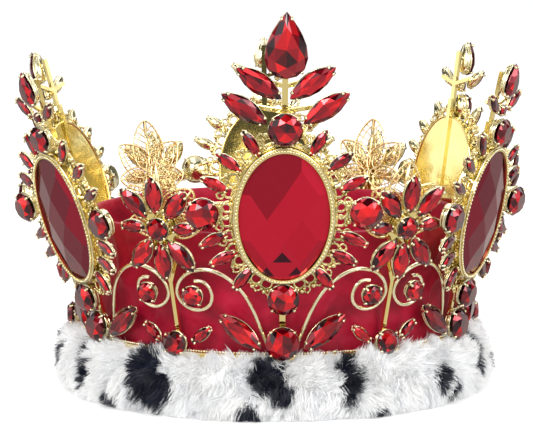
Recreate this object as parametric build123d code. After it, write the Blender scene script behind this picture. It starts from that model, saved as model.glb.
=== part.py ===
from build123d import *
import os
from math import atan2, cos, degrees, hypot, pi, radians, sin, sqrt

# A jewelled crown. The axis of the head opening is Z, the front medallion faces -Y,
# and the flat underside of the fur trim is Z = 0. All sizes are millimetres.

# --- Driving dimensions -------------------------------------------------------------

# Soft band and fur trim
HEAD_RADIUS = 84.0
BAND_RADIUS = 87.0
BAND_TOP = 81.5
BAND_FOOT = 0.0
VELVET_THICKNESS = 0.8
STIFFENER_THICKNESS = 1.2
FUR_HEIGHT = 25.6
FUR_REACH = 10.4
FUR_THICKNESS = 4.0
SOFT_GAP = 0.3

# Metal hoops at the foot of the frame
RING_RADIUS = 91.0
RING_HEIGHT = 30.0
HOOP_BOTTOM = 25.9
HOOP_TOP = 28.2
HOOP_THICKNESS = 2.0
BEAD_WIRE = 1.2
BEAD_RADIUS = 90.2

# How far each medallion was bent outward, and the flowers between them
LEANS = {
    "front": 13.0,
    "front_right": 12.5,
    "back_right": 9.0,
    "back": 12.0,
    "back_left": 18.0,
    "front_left": 17.0,
}
MEDALLION_STEP = 60.0
FLOWER_LEAN = 15.0
ARC_RADIUS = 94.0

# Oval stone, its bezel and the pierced plate round it
OVAL_WIDTH = 39.5
OVAL_LENGTH = 58.0
OVAL_GIRDLE = 3.6
OVAL_DOME = 4.4
BEZEL_WALL = 1.6
BEZEL_HEIGHT = 4.5
BACK_PLATE_MARGIN = 3.8
PLATE_THICKNESS = 1.2
BACK_PLATE_DEPTH = 3.0
SURROUND_MARGIN = 5.4
FRONT_OVAL_HEIGHT = 64.3
SIDE_OVAL_HEIGHT = 58.0

# Stones: (length, width); a round stone has both the same
RAY = (14.0, 5.2)
BIG_MARQUISE = (24.0, 9.3)
PETAL = (17.6, 8.4)
SIDE_PETAL = (12.6, 6.0)
SMALL_MARQUISE = (12.0, 5.0)
BIG_PEAR = (29.5, 18.5)
SMALL_PEAR = (16.6, 10.3)
BASE_ROUND = (15.0, 15.0)
SIDE_ROUND = (14.4, 14.4)
LOWER_ROUND = (14.0, 14.0)
TOP_ROUND = (13.0, 13.0)
FLOWER_BASE_ROUND = (11.3, 11.3)
FLOWER_ROUND = (10.5, 10.5)
SCROLL_ROUND = (9.6, 9.6)
TINY_ROUND = (5.4, 5.4)

# Claw cups
CUP_FLOOR = 0.6
CUP_WALL = 0.45
CUP_DEPTH = 0.62
CLAW = 1.25
POST = 2.4
STONE_SIDES = 12

# Wires and stems
WIRE = 1.7
WIRE_DEPTH = -2.1
STEM_WIDTH = 2.6
STEM_BACK = -3.0
STEM_FRONT = -1.4

# Where the stones sit on a medallion, measured from the middle of the oval: x, y and
# the direction in which a marquise points. Each one has a mirror twin across x = 0.
RAYS = [
    (14.5, 33.0, 58),
    (24.0, 24.5, 35),
    (30.0, 14.5, 26),
    (30.5, -11.0, -26),
    (26.0, -19.5, -26),
    (17.5, -29.0, -51),
]
SIDE_ROUND_AT = (35.3, 1.7)
LOWER_ROUND_AT = -38.2
FRONT_TOP_ROUND_AT = 39.5
SIDE_TOP_ROUND_AT = 37.8

# Plume above the medallion, measured up the slope from the hoop
FRONT_PEAR_AT = 141.5
FRONT_PLUME = [(17.5, 113.2, 35), (11.4, 124.5, 36)]
SIDE_PEAR_AT = 119.5
SIDE_PLUME = (11.0, 109.5, 38)
SIDE_TINY_AT = 105.6

# Flower between two medallions, measured up the slope from the hoop
FLOWER_AT = 57.5
PETAL_RING = 15.6
PETAL_ANGLES = [48, 90, 132, -51, -90, -129]
SIDE_PETAL_RING = 12.8
FLOWER_DISC = 8.0
FORK_AT = 31.0
SCROLL_MEET = 24.5
LEAF_RING = 1.3


# --- Stone outlines -----------------------------------------------------------------

def marquise_half_width(length, width, x):
    """Half the width of a pointed two-arc outline at distance x from its middle."""
    arc = (length ** 2 + width ** 2) / (4 * width)
    return sqrt(arc ** 2 - x ** 2) - (arc - width / 2)


def outline_point(kind, size, turn):
    """Point on the girdle of a stone; turn runs 0 to 1 from the +x end."""
    length, width = size
    angle = 2 * pi * turn
    x = length / 2 * cos(angle)
    if kind == "marquise":
        half = marquise_half_width(length, width, x)
        return x, half if sin(angle) >= 0 else -half
    if kind == "pear":
        return x, width / 2 * sin(angle) * abs(sin(angle / 2)) / 0.77
    return x, width / 2 * sin(angle)


def outline_face(kind, size, grow):
    """Flat face of the outline, grown outward all round by a margin."""
    length, width = size[0] + 2 * grow, size[1] + 2 * grow
    if kind == "round":
        return Circle(length / 2).face()
    if kind == "oval":
        return Ellipse(length / 2, width / 2).face()
    if kind == "marquise":
        tip = (length / 2 + grow * (size[0] / size[1] - 1) * 0.5, 0)
        back = (-tip[0], 0)
        upper = ThreePointArc(tip, (0, width / 2), back)
        lower = ThreePointArc(back, (0, -width / 2), tip)
        return make_face([upper, lower]).face()
    points = [outline_point(kind, (length + grow, width), k / 16) for k in range(1, 16)]
    tip = (length / 2 + grow, 0)
    curve = Spline([tip] + points + [tip])
    return make_face([curve]).face()


def prism(face, bottom, top):
    """Straight solid over a face from one height to another."""
    return Pos(0, 0, bottom) * extrude(face, amount=top - bottom)


# --- Stones and claw cups -----------------------------------------------------------

def polygon_stack(rings):
    """Closed solid through a stack of horizontal rings that share their corner count."""
    count = len(rings[0])
    faces = [Face(Wire.make_polygon(rings[0], close=True))]
    faces.append(Face(Wire.make_polygon(rings[-1], close=True)))
    for low, high in zip(rings, rings[1:]):
        for k in range(count):
            after = (k + 1) % count
            corners = [low[k], low[after], high[after], high[k]]
            faces.append(Face(Wire.make_polygon(corners, close=True)))
    return Solid(Shell(faces))


def pavilion_depth(size):
    return min(0.3 * size[1], 4.0)


def girdle_height(size):
    return CUP_FLOOR + pavilion_depth(size)


def make_stone(kind, size):
    """Faceted stone standing on the cup floor, table upward, long axis along x."""
    girdle = girdle_height(size)
    table = girdle + 0.2 + 0.17 * size[1]
    levels = [(0.45, CUP_FLOOR), (1.0, girdle), (1.0, girdle + 0.2), (0.62, table)]
    rings = []
    for scale, z in levels:
        ring = []
        for k in range(STONE_SIDES):
            x, y = outline_point(kind, size, k / STONE_SIDES)
            ring.append((scale * x, scale * y, z))
        rings.append(ring)
    return polygon_stack(rings)


def make_cup(kind, size, stone, post):
    """Metal cup with a floor, a thin wall and four claws bent over the stone."""
    wall_top = girdle_height(size) * CUP_DEPTH
    cup = prism(outline_face(kind, size, 0), 0, wall_top)
    cup -= prism(outline_face(kind, size, -CUP_WALL), CUP_FLOOR, wall_top + 1)
    turns = (0.125, 0.375, 0.625, 0.875) if kind == "round" else (0.1, 0.4, 0.6, 0.9)
    claw_top = girdle_height(size) + 0.7
    for turn in turns:
        x, y = outline_point(kind, size, turn)
        reach = hypot(x, y)
        stand = (reach + 0.3) / reach
        lean_in = (reach - 0.05) / reach
        cup += Pos(x * stand, y * stand, claw_top / 2) * Cylinder(CLAW / 2, claw_top)
        cup += Pos(x * lean_in, y * lean_in, claw_top) * Sphere(CLAW * 0.55)
    cup -= stone
    if post:
        cup += Pos(0, 0, STEM_FRONT / 2) * Cylinder(POST / 2, -STEM_FRONT)
    return cup.solid()


class Jewel:
    """One size of stone with its cup, copied to every place where it is used."""

    def __init__(self, kind, size, post=False):
        self.stone = make_stone(kind, size)
        self.cup = make_cup(kind, size, self.stone, post)

    def set_at(self, place, stones, cups):
        stones.append(place * self.stone)
        cups.append(place * self.cup)


ray = Jewel("marquise", RAY)
plume_ray = Jewel("marquise", RAY, post=True)
big_marquise = Jewel("marquise", BIG_MARQUISE)
plume_marquise = Jewel("marquise", BIG_MARQUISE, post=True)
petal = Jewel("marquise", PETAL)
side_petal = Jewel("marquise", SIDE_PETAL)
small_marquise = Jewel("marquise", SMALL_MARQUISE)
big_pear = Jewel("pear", BIG_PEAR, post=True)
small_pear = Jewel("pear", SMALL_PEAR, post=True)
base_round = Jewel("round", BASE_ROUND)
side_round = Jewel("round", SIDE_ROUND)
lower_round = Jewel("round", LOWER_ROUND, post=True)
front_top_round = Jewel("round", BASE_ROUND, post=True)
side_top_round = Jewel("round", TOP_ROUND, post=True)
flower_base_round = Jewel("round", FLOWER_BASE_ROUND)
flower_round = Jewel("round", FLOWER_ROUND)
scroll_round = Jewel("round", SCROLL_ROUND)
tiny_round = Jewel("round", TINY_ROUND, post=True)


# --- Places on the crown ------------------------------------------------------------

def slope(azimuth, lean):
    """Frame standing on the hoop: x along the hoop, y up the slope, z outward."""
    turn, tilt = radians(azimuth), radians(lean)
    origin = (RING_RADIUS * sin(turn), -RING_RADIUS * cos(turn), RING_HEIGHT)
    outward = (cos(tilt) * sin(turn), -cos(tilt) * cos(turn), -sin(tilt))
    return Plane(origin=origin, x_dir=(cos(turn), sin(turn), 0), z_dir=outward).location


def round_the_hoop(azimuth, along, up, spin, lean, out=0.0):
    """Place that follows the curve of the hoop at an arc distance from an azimuth."""
    place = slope(azimuth + degrees(along / ARC_RADIUS), lean)
    return place * Pos(0, up, out) * Rot(0, 0, spin)


def wrapped_point(azimuth, along, up, lean, out):
    return (round_the_hoop(azimuth, along, up, 0, lean, out)).position


def write(name, solids):
    """One STEP for one node, holding one solid or a group of separate solids."""
    shape = solids[0] if len(solids) == 1 else Compound(children=solids)
    shape.label = name
    export_step(shape, f"parts/{name}.step")


# --- Medallions ---------------------------------------------------------------------

def make_oval_stone():
    """Domed oval, cut all over with a chequer of lozenge facets."""
    half_w, half_l = OVAL_WIDTH / 2, OVAL_LENGTH / 2
    girdle = Ellipse(half_w, half_l).face()
    body = prism(girdle, OVAL_GIRDLE - 0.4, OVAL_GIRDLE + OVAL_DOME)
    lines = [-1.3, -0.78, -0.27, 0.27, 0.78, 1.3]
    root = sqrt(0.5)
    for u0, u1 in zip(lines, lines[1:]):
        for v0, v1 in zip(lines, lines[1:]):
            u, v = (u0 + u1) / 2, (v0 + v1) / 2
            if hypot(u, v) > 1.05:
                continue
            level = 1 - (u0 * u0 + u1 * u1 + v0 * v0 + v1 * v1) / 2
            drop_u, drop_v = -(u0 + u1), -(v0 + v1)
            drop_x, drop_y = root * (drop_u + drop_v), root * (drop_v - drop_u)
            x, y = root * (u + v), root * (v - u)
            normal = (-OVAL_DOME * drop_x / half_w, -OVAL_DOME * drop_y / half_l, 1)
            point = (x * half_w, y * half_l, OVAL_GIRDLE + OVAL_DOME * max(level, -0.5))
            body = split(body, Plane(origin=point, z_dir=normal), keep=Keep.BOTTOM)
    back_small = Ellipse(half_w * 0.6, half_l * 0.6).face()
    back = loft([Pos(0, 0, -0.9) * back_small, Pos(0, 0, OVAL_GIRDLE - 0.4) * girdle])
    return (body + back).solid()


def make_bezel():
    """Oval cup that holds the stone, with its wide closed back plate."""
    inner = Ellipse(OVAL_WIDTH / 2 + 0.15, OVAL_LENGTH / 2 + 0.15).face()
    wall = OVAL_WIDTH / 2 + BEZEL_WALL, OVAL_LENGTH / 2 + BEZEL_WALL
    body = prism(Ellipse(*wall).face(), -PLATE_THICKNESS, BEZEL_HEIGHT)
    body -= prism(inner, -PLATE_THICKNESS, BEZEL_HEIGHT + 1)
    return (body + prism(back_plate_face(), -BACK_PLATE_DEPTH, -PLATE_THICKNESS)).solid()


def back_plate_face():
    margin = BACK_PLATE_MARGIN
    return Ellipse(OVAL_WIDTH / 2 + margin, OVAL_LENGTH / 2 + margin).face()


def make_surround():
    """Pierced plate with a beaded, scalloped edge and an ear under each side stone."""
    margin = BEZEL_WALL + SURROUND_MARGIN
    half_w, half_l = OVAL_WIDTH / 2 + margin, OVAL_LENGTH / 2 + margin
    plate = Sketch() + Ellipse(half_w, half_l)
    scallops = 36
    for k in range(scallops):
        angle = 2 * pi * (k + 0.5) / scallops
        near_stem = abs(cos(angle)) < 0.2
        if not near_stem:
            plate += Pos(half_w * cos(angle), half_l * sin(angle)) * Circle(1.7)
    for side in (-1, 1):
        plate += Pos(side * 29.5, SIDE_ROUND_AT[1]) * Rectangle(7, 6)
        plate -= Pos(side * 24.4, SIDE_ROUND_AT[1]) * Ellipse(2.1, 3.1)
        for step in (-4, -3, -2, -1.2, 1.2, 2, 3, 4):
            angle = radians(90 - side * 90 + side * step * 15)
            middle = BEZEL_WALL + SURROUND_MARGIN * 0.48
            x = (OVAL_WIDTH / 2 + middle) * cos(angle)
            y = (OVAL_LENGTH / 2 + middle) * sin(angle)
            plate -= Pos(x, y) * Circle(1.15)
    clear = BEZEL_WALL + 0.05
    plate -= Ellipse(OVAL_WIDTH / 2 + clear, OVAL_LENGTH / 2 + clear)
    return extrude(plate, amount=-PLATE_THICKNESS).solid()


def bar(start, end, width):
    """Flat bar between two points of the slope frame, at the depth of the stems."""
    (x0, y0), (x1, y1) = start, end
    length = hypot(x1 - x0, y1 - y0)
    angle = degrees(atan2(y1 - y0, x1 - x0))
    depth = STEM_FRONT - STEM_BACK
    middle = Pos((x0 + x1) / 2, (y0 + y1) / 2, (STEM_FRONT + STEM_BACK) / 2)
    return middle * Rot(0, 0, angle) * Box(length, width, depth)


def make_medallion_stem(oval_at, front):
    """Upright strip from the hoop to the tip, broken by the back plate, with its arms."""
    foot = (HOOP_TOP - RING_HEIGHT) / cos(radians(8)) + 0.7
    tip = FRONT_PEAR_AT + 6 if front else SIDE_PEAR_AT + 3
    stem = bar((0, foot), (0, tip), STEM_WIDTH)
    arms = FRONT_PLUME if front else [SIDE_PLUME]
    for x, y, _ in arms:
        for side in (-1, 1):
            stem += bar((0, y - 3), (side * x, y), 1.8)
    stem -= Pos(0, oval_at, 0) * prism(back_plate_face(), -5, 1)
    return stem.solids()


oval_stone = make_oval_stone()
bezel = make_bezel()
surround = make_surround()


def medallion_jewels(place, oval_at, front, stones, cups):
    """Rays, side stones and the stones above and below one oval."""
    middle = place * Pos(0, oval_at, 0)
    for x, y, direction in RAYS:
        ray.set_at(middle * Pos(x, y, 0) * Rot(0, 0, direction), stones, cups)
        ray.set_at(middle * Pos(-x, y, 0) * Rot(0, 0, 180 - direction), stones, cups)
    for side in (-1, 1):
        across, up = SIDE_ROUND_AT
        side_round.set_at(middle * Pos(side * across, up, 0), stones, cups)
    lower_round.set_at(middle * Pos(0, LOWER_ROUND_AT, 0), stones, cups)
    top = front_top_round if front else side_top_round
    top_at = FRONT_TOP_ROUND_AT if front else SIDE_TOP_ROUND_AT
    top.set_at(middle * Pos(0, top_at, 0), stones, cups)


def plume_jewels(place, front, stones, cups):
    """Pear on top with its pairs of marquises."""
    if front:
        big_pear.set_at(place * Pos(0, FRONT_PEAR_AT, 0) * Rot(0, 0, 90), stones, cups)
    else:
        small_pear.set_at(place * Pos(0, SIDE_PEAR_AT, 0) * Rot(0, 0, 90), stones, cups)
        tiny_round.set_at(place * Pos(0, SIDE_TINY_AT, 0), stones, cups)
    leaf = plume_marquise if front else plume_ray
    for x, y, direction in FRONT_PLUME if front else [SIDE_PLUME]:
        leaf.set_at(place * Pos(x, y, 0) * Rot(0, 0, direction), stones, cups)
        leaf.set_at(place * Pos(-x, y, 0) * Rot(0, 0, 180 - direction), stones, cups)


def build_medallions():
    small_stones, small_cups = [], []
    for index, (name, lean) in enumerate(LEANS.items()):
        front = name == "front"
        place = slope(index * MEDALLION_STEP, lean)
        oval_at = FRONT_OVAL_HEIGHT if front else SIDE_OVAL_HEIGHT
        middle = place * Pos(0, oval_at, 0)
        write(f"medallion_stone_{name}", [middle * oval_stone])
        write(f"medallion_bezel_{name}", [middle * bezel])
        write(f"medallion_surround_{name}", [middle * surround])
        stem = make_medallion_stem(oval_at, front)
        write(f"medallion_stem_{name}", [place * piece for piece in stem])
        stones, cups = [], []
        medallion_jewels(place, oval_at, front, stones, cups)
        write(f"ray_stones_{name}", stones)
        write(f"ray_settings_{name}", cups)
        if front:
            stones, cups = [], []
            plume_jewels(place, True, stones, cups)
            write("plume_stones_front", stones)
            write("plume_settings_front", cups)
        else:
            plume_jewels(place, False, small_stones, small_cups)
    write("plume_stones_small", small_stones)
    write("plume_settings_small", small_cups)


# --- Flowers, leaves and scrolls ----------------------------------------------------

def flower_azimuths():
    return [(k + 0.5) * MEDALLION_STEP for k in range(6)]


def flower_jewels(place, stones, cups):
    middle = place * Pos(0, FLOWER_AT, 0)
    flower_round.set_at(middle, stones, cups)
    for angle in PETAL_ANGLES:
        petal.set_at(middle * Rot(0, 0, angle) * Pos(PETAL_RING, 0, 0), stones, cups)
    for angle in (2, 178):
        reach = Pos(SIDE_PETAL_RING, 0, 0)
        side_petal.set_at(middle * Rot(0, 0, angle) * reach, stones, cups)


def make_flower_stem():
    """Disc behind the petals on a forked stem that stands on the hoop."""
    foot = (HOOP_TOP - RING_HEIGHT) / cos(radians(FLOWER_LEAN)) + 0.8
    disc = Pos(0, FLOWER_AT, -PLATE_THICKNESS / 2) * Cylinder(FLOWER_DISC, PLATE_THICKNESS)
    stem = disc + bar((0, foot), (0, FORK_AT), 1.8)
    for side in (-1, 1):
        stem += bar((0, FORK_AT - 0.5), (side * 5.5, FLOWER_AT - 13), 1.6)
        stem += bar((side * 5.5, FLOWER_AT - 13.5), (side * 3.5, FLOWER_AT - 2), 1.6)
    seat = Pos(0, FLOWER_AT, (STEM_FRONT - PLATE_THICKNESS) / 2)
    stem += seat * Cylinder(5, PLATE_THICKNESS - STEM_FRONT - 2 * PLATE_THICKNESS + 0.6)
    return stem.solid()


def make_leaf():
    """Five-lobed open leaf of flat wire, each lobe an oval loop with a rib."""
    lobes = [
        (0.0, 15.5, 13.0, 6.2, 90),
        (9.0, 9.0, 11.0, 5.2, 48),
        (-9.0, 9.0, 11.0, 5.2, 132),
        (10.0, -1.5, 8.5, 4.6, 8),
        (-10.0, -1.5, 8.5, 4.6, 172),
    ]
    leaf = Sketch()
    for x, y, half_long, half_wide, angle in lobes:
        loop = Ellipse(half_long, half_wide) - Ellipse(half_long - LEAF_RING, half_wide - LEAF_RING)
        lobe = loop + Rectangle(2 * half_long - 1, LEAF_RING)
        leaf += Pos(x, y) * Rot(0, 0, angle) * lobe
    leaf += Pos(0, -8) * Rectangle(2.0, 22)
    leaf += Circle(3.4)
    return extrude(leaf, amount=1.0).solid()


def scroll_path(azimuth, side):
    """Wire from the hoop, over a round arch, in to the flower stem and back in a curl."""
    stops = [
        (42.5, 2.0),
        (37.5, 15.5),
        (31.0, 28.5),
        (17.5, 37.3),
        (5.6, 33.0),
        (2.2, 25.0),
        (9.0, 18.0),
        (17.6, 21.5),
        (17.2, 29.2),
        (11.0, 31.6),
    ]
    points = [wrapped_point(azimuth, side * s, up, FLOWER_LEAN, WIRE_DEPTH) for s, up in stops]
    return Spline(points)


def make_scroll(azimuth, side):
    path = scroll_path(azimuth, side)
    start = Plane(origin=path @ 0, z_dir=path % 0)
    return sweep(start * Circle(WIRE / 2), path=path).solid()


def build_flowers():
    stones, cups, stems, leaves = [], [], [], []
    scrolls, scroll_stones, scroll_cups = [], [], []
    stem, leaf = make_flower_stem(), make_leaf()
    for azimuth in flower_azimuths():
        place = slope(azimuth, FLOWER_LEAN)
        flower_jewels(place, stones, cups)
        stems.append(place * stem)
        leaves.append(place * Pos(0, FLOWER_AT + 1, STEM_BACK - 1.1) * leaf)
        for side in (-1, 1):
            scrolls.append(make_scroll(azimuth, side))
            seat = round_the_hoop(azimuth, side * 10.8, 26.0, 0, FLOWER_LEAN, WIRE_DEPTH + 0.9)
            scroll_round.set_at(seat, scroll_stones, scroll_cups)
    write("flower_stones", stones)
    write("flower_settings", cups)
    write("flower_stems", stems)
    write("filigree_leaves", leaves)
    write("scroll_wires", scrolls)
    write("scroll_stones", scroll_stones)
    write("scroll_settings", scroll_cups)


# --- Row of stones on the hoop ------------------------------------------------------

def build_base_row():
    stones, cups = [], []
    for k in range(6):
        under_medallion = k * MEDALLION_STEP
        base_round.set_at(round_the_hoop(under_medallion, 0, 4, 0, 0), stones, cups)
        under_flower = under_medallion + MEDALLION_STEP / 2
        flower_base_round.set_at(round_the_hoop(under_flower, 0, 2.2, 0, 0), stones, cups)
        for side in (-1, 1):
            spin = 39 if side > 0 else 141
            place = round_the_hoop(under_medallion, side * 18.6, 8.8, spin, 0)
            big_marquise.set_at(place, stones, cups)
            place = round_the_hoop(under_flower, side * 12.6, 6.6, spin, 0)
            small_marquise.set_at(place, stones, cups)
    write("base_stones", stones)
    write("base_settings", cups)


# --- Hoops, velvet band and fur trim ------------------------------------------------

def ring_of(section):
    """Ring swept round the crown's axis by a section drawn in X and Z."""
    return revolve(Plane.XZ * section, axis=Axis.Z, revolution_arc=360).solid()


def tube_section(inner, outer, bottom, top):
    return Pos((inner + outer) / 2, (bottom + top) / 2) * Rectangle(outer - inner, top - bottom)


def fur_section(shrink):
    """Flat-footed roll: straight inner side, rounded crown, full outer side."""
    inner = BAND_RADIUS + SOFT_GAP + shrink
    top = FUR_HEIGHT - shrink
    reach = inner + FUR_REACH - 2 * shrink
    belly = FUR_HEIGHT * 0.42
    foot = inner + 0.8 * (FUR_REACH - 2 * shrink)
    edges = [
        Line((inner, shrink), (inner, top - 1)),
        ThreePointArc((inner, top - 1), (inner + 0.5, top - 0.2), (inner + 1.4, top)),
        EllipticalCenterArc((inner + 1.4, belly), reach - inner - 1.4, top - belly, 0, arc_size=90),
        Spline([(reach, belly), (foot, shrink)], tangents=[(0, -1), (-0.7, -0.6)]),
        Line((foot, shrink), (inner, shrink)),
    ]
    return make_face(edges)


def build_soft_parts():
    inner_wall = HEAD_RADIUS + VELVET_THICKNESS
    outer_wall = BAND_RADIUS - VELVET_THICKNESS
    cover = tube_section(HEAD_RADIUS, BAND_RADIUS, BAND_FOOT, BAND_TOP)
    cover = fillet(cover.vertices().group_by(Axis.Y)[-1], 1.3)
    cover -= tube_section(inner_wall, outer_wall, BAND_FOOT - 1, BAND_TOP - VELVET_THICKNESS)
    write("velvet_cover", [ring_of(cover)])
    board_outer = inner_wall + 0.1 + STIFFENER_THICKNESS
    board_top = BAND_TOP - VELVET_THICKNESS - 0.1
    board = tube_section(inner_wall + 0.1, board_outer, BAND_FOOT, board_top)
    write("band_stiffener", [ring_of(board)])
    write("ermine_trim", [ring_of(fur_section(0) - fur_section(FUR_THICKNESS))])
    write("trim_wadding", [ring_of(fur_section(FUR_THICKNESS + 0.2))])


def build_hoops():
    hoop = tube_section(RING_RADIUS - HOOP_THICKNESS, RING_RADIUS, HOOP_BOTTOM, HOOP_TOP)
    write("lower_hoop", [ring_of(hoop)])
    bead_at = Pos(BEAD_RADIUS, HOOP_TOP + BEAD_WIRE / 2 + 0.02)
    write("beaded_hoop", [ring_of(bead_at * Circle(BEAD_WIRE / 2))])


os.makedirs("parts", exist_ok=True)
build_medallions()
build_flowers()
build_base_row()
build_hoops()
build_soft_parts()
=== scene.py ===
import math
import random

import bmesh
import bpy
import numpy as np
from mathutils import Matrix, Vector, noise


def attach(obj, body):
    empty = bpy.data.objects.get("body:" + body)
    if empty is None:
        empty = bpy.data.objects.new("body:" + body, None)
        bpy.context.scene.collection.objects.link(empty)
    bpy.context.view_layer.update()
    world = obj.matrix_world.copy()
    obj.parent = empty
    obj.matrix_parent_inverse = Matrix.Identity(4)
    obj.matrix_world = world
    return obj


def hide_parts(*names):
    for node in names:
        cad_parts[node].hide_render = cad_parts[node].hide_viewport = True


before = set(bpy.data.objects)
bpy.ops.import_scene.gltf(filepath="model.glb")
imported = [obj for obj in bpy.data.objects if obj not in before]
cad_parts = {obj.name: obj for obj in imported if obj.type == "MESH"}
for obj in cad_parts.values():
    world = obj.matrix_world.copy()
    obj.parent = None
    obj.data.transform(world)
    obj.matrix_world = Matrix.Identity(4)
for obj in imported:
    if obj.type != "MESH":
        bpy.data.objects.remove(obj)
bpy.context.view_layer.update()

scene = bpy.context.scene
noise.seed_set(11)    # the swirl of the fur is the same on every run
MM = 0.001

# The crown's sizes in millimetres, as the frame was built.
RING_RADIUS = 91.0
RING_HEIGHT = 30.0
ARC_RADIUS = 94.0
HEAD_RADIUS = 84.0
BAND_RADIUS = 87.0
BAND_TOP = 81.5
CLOTH = 0.75
FUR_HEIGHT = 25.6
FUR_INNER = 87.3
FUR_REACH = 10.4
LEANS = {
    "front": 13.0, "front_right": 12.5, "back_right": 9.0,
    "back": 12.0, "back_left": 18.0, "front_left": 17.0,
}
BEAD_RADIUS = 90.2
BEAD_HEIGHT = 28.82
BACK_STEM_FOOT = 20.0
FLOWER_LEAN = 15.0
FLOWER_AT = 57.5
LEAF_SWAY = {3: 7.0}
OVAL_HALF_WIDTH = 19.75
OVAL_HALF_LENGTH = 29.0
OVAL_GIRDLE = 3.6
OVAL_DOME = 4.4
BEZEL_WALL = 1.6
BEZEL_HEIGHT = 4.5
FRONT_OVAL_HEIGHT = 64.3
SIDE_OVAL_HEIGHT = 58.0

RAY = (14.0, 5.2)
BIG_MARQUISE = (24.0, 9.3)
PETAL = (17.6, 8.4)
SIDE_PETAL = (12.6, 6.0)
SMALL_MARQUISE = (12.0, 5.0)
BIG_PEAR = (29.5, 18.5)
SMALL_PEAR = (16.6, 10.3)
BASE_ROUND = (15.0, 15.0)
SIDE_ROUND = (14.4, 14.4)
LOWER_ROUND = (14.0, 14.0)
TOP_ROUND = (13.0, 13.0)
FLOWER_BASE_ROUND = (11.3, 11.3)
FLOWER_ROUND = (10.5, 10.5)
SCROLL_ROUND = (9.6, 9.6)
TINY_ROUND = (5.4, 5.4)
CUP_FLOOR = 0.6
CUP_DEPTH = 0.62
POST_FOOT = -1.4
SETTINGS = {}

RAYS = [
    (14.5, 33.0, 58),
    (24.0, 24.5, 35),
    (30.0, 14.5, 26),
    (30.5, -11.0, -26),
    (26.0, -19.5, -26),
    (17.5, -29.0, -51),
]
SIDE_ROUND_AT = (35.3, 1.7)
LOWER_ROUND_AT = -38.2
FRONT_TOP_ROUND_AT = 39.5
SIDE_TOP_ROUND_AT = 37.8
FRONT_PEAR_AT = 141.5
FRONT_PLUME = [(17.5, 113.2, 35), (11.4, 124.5, 36)]
SIDE_PEAR_AT = 119.5
SIDE_PLUME = [(11.0, 109.5, 38)]
SIDE_TINY_AT = 105.6
PETAL_RING = 15.6
PETAL_ANGLES = [48, 90, 132, -51, -90, -129]
SIDE_PETAL_RING = 12.8

# The row of stones on the hoop: distance along it and height above it.
BASE_ROUND_UP = 4
BASE_PAIR_AT = (18.6, 8.8)
FLOWER_BASE_UP = 2.2
FLOWER_PAIR_AT = (12.6, 6.6)
BASE_TURN = 39
SCROLL_STONE_AT = (10.8, 26.0, -1.2)

# How many small things make up the fine work.
RIM_GRAINS = 108
LACE_LOOPS = 32
BEAD_SPACING = 1.25
FUR_PIECES = 4
LOCKS = 1100
HAIRS = 44

# Facets low in each oval stone painted near black as dark reflections: corners as shares of its
# half width and half length.
PAINTED_DARK_FACETS = [
    [(-0.04, -0.52), (-0.25, -0.7), (0.18, -0.7)],
    [(-0.37, -0.78), (-0.52, -0.93), (-0.2, -0.95)],
    [(0.28, -0.78), (0.1, -0.94), (0.4, -0.9)],
]

# Black tails sewn into the ermine: azimuth, height, half width and half height (mm).
TAILS = [
    (-65, 22, 4, 4), (-62, 12, 4, 6), (-49, 4.5, 5.5, 3), (-38, 17, 9.5, 10),
    (-33, 11, 5, 8), (-8, 4.5, 6.5, 4), (-4, 19, 9, 7), (-0.5, 13, 5.5, 4),
    (17.8, 17.5, 5, 10.5), (25.3, 3, 4.5, 3), (47.5, 14, 5, 5.5), (53, 8, 3.5, 3.5),
    (69, 19, 4, 8), (84, 12, 5, 5), (-84, 15, 5, 7),
]


# --- Places ---

def spin(degrees):
    return Matrix.Rotation(math.radians(degrees), 4, "Z")


def shift(x, y, z=0.0):
    return Matrix.Translation((x, y, z))


def slope(azimuth, lean):
    """Frame standing on the hoop: x along the hoop, y up the slope, z outward."""
    turn, tilt = math.radians(azimuth), math.radians(lean)
    across = Vector((math.cos(turn), math.sin(turn), 0))
    outward = Vector((
        math.cos(tilt) * math.sin(turn), -math.cos(tilt) * math.cos(turn), -math.sin(tilt),
    ))
    up = outward.cross(across)
    place = Matrix((across, up, outward)).transposed().to_4x4()
    place.translation = (
        RING_RADIUS * math.sin(turn), -RING_RADIUS * math.cos(turn), RING_HEIGHT,
    )
    return place


def round_the_hoop(azimuth, along, up, turn, lean, out=0.0):
    """Place that follows the curve of the hoop at an arc distance from an azimuth."""
    place = slope(azimuth + math.degrees(along / ARC_RADIUS), lean)
    return place @ shift(0, up, out) @ spin(turn)


def round_axis(radius, azimuth, z):
    return radius * math.sin(azimuth), -radius * math.cos(azimuth), z


# --- Meshes ---

def turns_of(count):
    """Equal turns round a full circle, in radians."""
    return [2 * math.pi * k / count for k in range(count)]


def new_mesh(name, points, faces):
    mesh = bpy.data.meshes.new(name)
    mesh.from_pydata(points, [], faces)
    mesh.update()
    return mesh


def paint(mesh, label, domain, values):
    """Numbers on the faces or points of a mesh, for its material to read."""
    mesh.attributes.new(label, "FLOAT", domain).data.foreach_set("value", values)


class Tray:
    """Gathers many small parts into the mesh of one piece."""

    def __init__(self):
        self.points = []
        self.faces = []
        self.reflection_tones = []

    def add(self, part, place=None):
        points, faces, reflection_tones = part
        first = len(self.points)
        for point in points:
            moved = place @ Vector(point) if place else Vector(point)
            self.points.append(moved * MM)
        self.faces.extend([tuple(first + k for k in face) for face in faces])
        self.reflection_tones.extend(reflection_tones or [0.5] * len(faces))

    def part(self):
        """What it holds, as a part for other trays."""
        return [point / MM for point in self.points], self.faces, None

    def piece(self, name, material, slot, smooth=False, replaces=()):
        mesh = new_mesh(name, self.points, self.faces)
        # The facet attribute holds each face's painted reflection brightness, read by the ruby
        # materials.
        paint(mesh, "facet", "FACE", self.reflection_tones)
        return finish_piece(mesh, name, material, smooth, replaces)


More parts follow.
